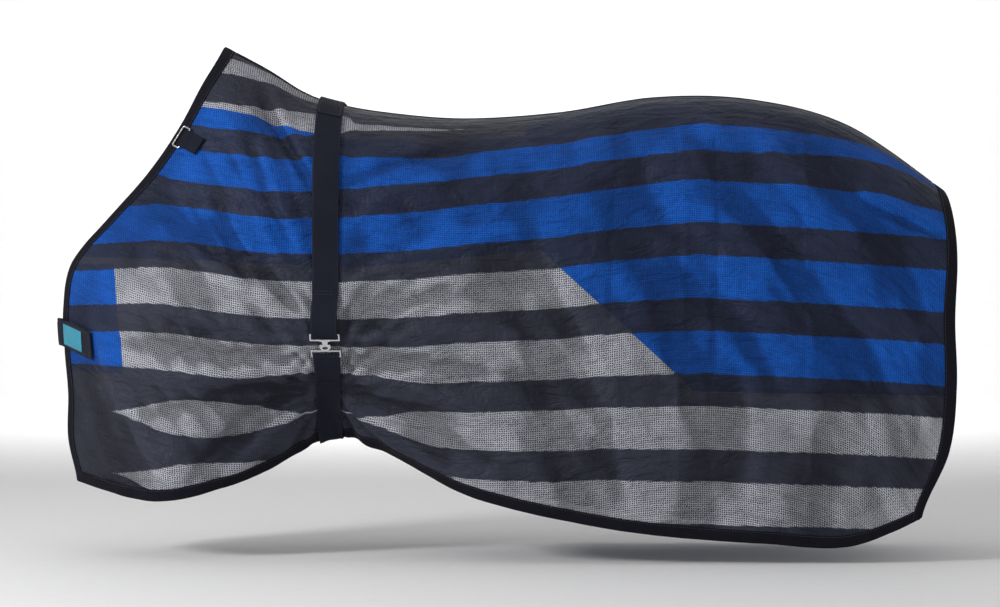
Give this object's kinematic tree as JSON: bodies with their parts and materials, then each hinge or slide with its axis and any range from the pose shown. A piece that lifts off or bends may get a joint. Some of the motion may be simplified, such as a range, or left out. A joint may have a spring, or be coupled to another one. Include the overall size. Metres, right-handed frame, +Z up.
{
  "type": "turnout rug",
  "caption": "Striped mesh horse rug in its worn shape, with a part lining, bound edges, spine seam, girth surcingle with a hook and plate clip, hinged neck rings and a chest closing tab.",
  "frame": {"origin": "inside of the spine seam under the middle of the surcingle, where the rug rests on the horse's back just behind the withers", "axes": "+Z up, +X towards the tail, -Y is the horse's left (near) side; the rug is mirror-symmetric in the XZ plane apart from the surcingle clip and the chest tab"},
  "size_m": [1.7601, 0.4906, 0.9796],
  "materials": {
    "mesh_cloth": "knitted mesh with woven-in dark and silver stripes",
    "lining": "smooth woven lining, slight sheen",
    "tape": "matt ribbed binding tape",
    "webbing": "woven surcingle webbing",
    "tab_cloth": "padded close-woven cloth",
    "closure": "hook and loop pile",
    "label": "woven satin label, plain",
    "metal": "nickel-plated steel"
  },
  "bodies": {
    "rug": {"left_side_panel": "mesh_cloth", "left_back_lining": "lining", "left_chest_lining": "lining", "left_front_binding": "tape", "left_tail_binding": "tape", "left_hem_binding": "tape", "left_anchor_patch": "webbing", "left_ring_tab": "webbing", "right_side_panel": "mesh_cloth", "right_back_lining": "lining", "right_chest_lining": "lining", "right_front_binding": "tape", "right_tail_binding": "tape", "right_hem_binding": "tape", "right_anchor_patch": "webbing", "right_ring_tab": "webbing", "spine_tape": "tape", "surcingle_upper_strap": "webbing", "surcingle_lower_strap": "webbing", "chest_tab_base": "tab_cloth", "chest_loop_strip": "closure"},
    "chest_tab": {"chest_tab": "tab_cloth", "chest_tab_label": "label", "chest_hook_strip": "closure"},
    "clip_hook": {"surcingle_hook": "metal"},
    "clip_plate": {"surcingle_plate": "metal"},
    "left_ring": {"left_neck_ring": "metal"},
    "right_ring": {"right_neck_ring": "metal"}
  },
  "joints": [
    {"name": "chest_tab_swing", "type": "hinge", "parent": "rug", "child": "chest_tab", "pos_m": [-0.5488, 0, -0.451], "axis": [0, 0, -1], "range_deg": [0, 130]},
    {"name": "clip_hook_pivot", "type": "hinge", "parent": "rug", "child": "clip_hook", "pos_m": [-0.00216, -0.23579, -0.45306], "axis": [-0.9952, 0.0982, -0.0006], "range_deg": [0, 90]},
    {"name": "clip_plate_pivot", "type": "hinge", "parent": "rug", "child": "clip_plate", "pos_m": [0.00004, -0.21368, -0.49488], "axis": [0.9952, -0.0982, 0.0006], "range_deg": [0, 72]},
    {"name": "left_ring_swing", "type": "hinge", "parent": "rug", "child": "left_ring", "pos_m": [-0.28125, -0.12288, -0.07412], "axis": [0.5168, 0.1096, 0.849], "range_deg": [0, 150]},
    {"name": "right_ring_swing", "type": "hinge", "parent": "rug", "child": "right_ring", "pos_m": [-0.28125, 0.12288, -0.07412], "axis": [-0.5168, 0.1096, -0.849], "range_deg": [0, 150]}
  ],
  "couplings": [
    {"joint": "clip_plate_pivot", "follows": "clip_hook_pivot", "ratio": 0.8}
  ]
}
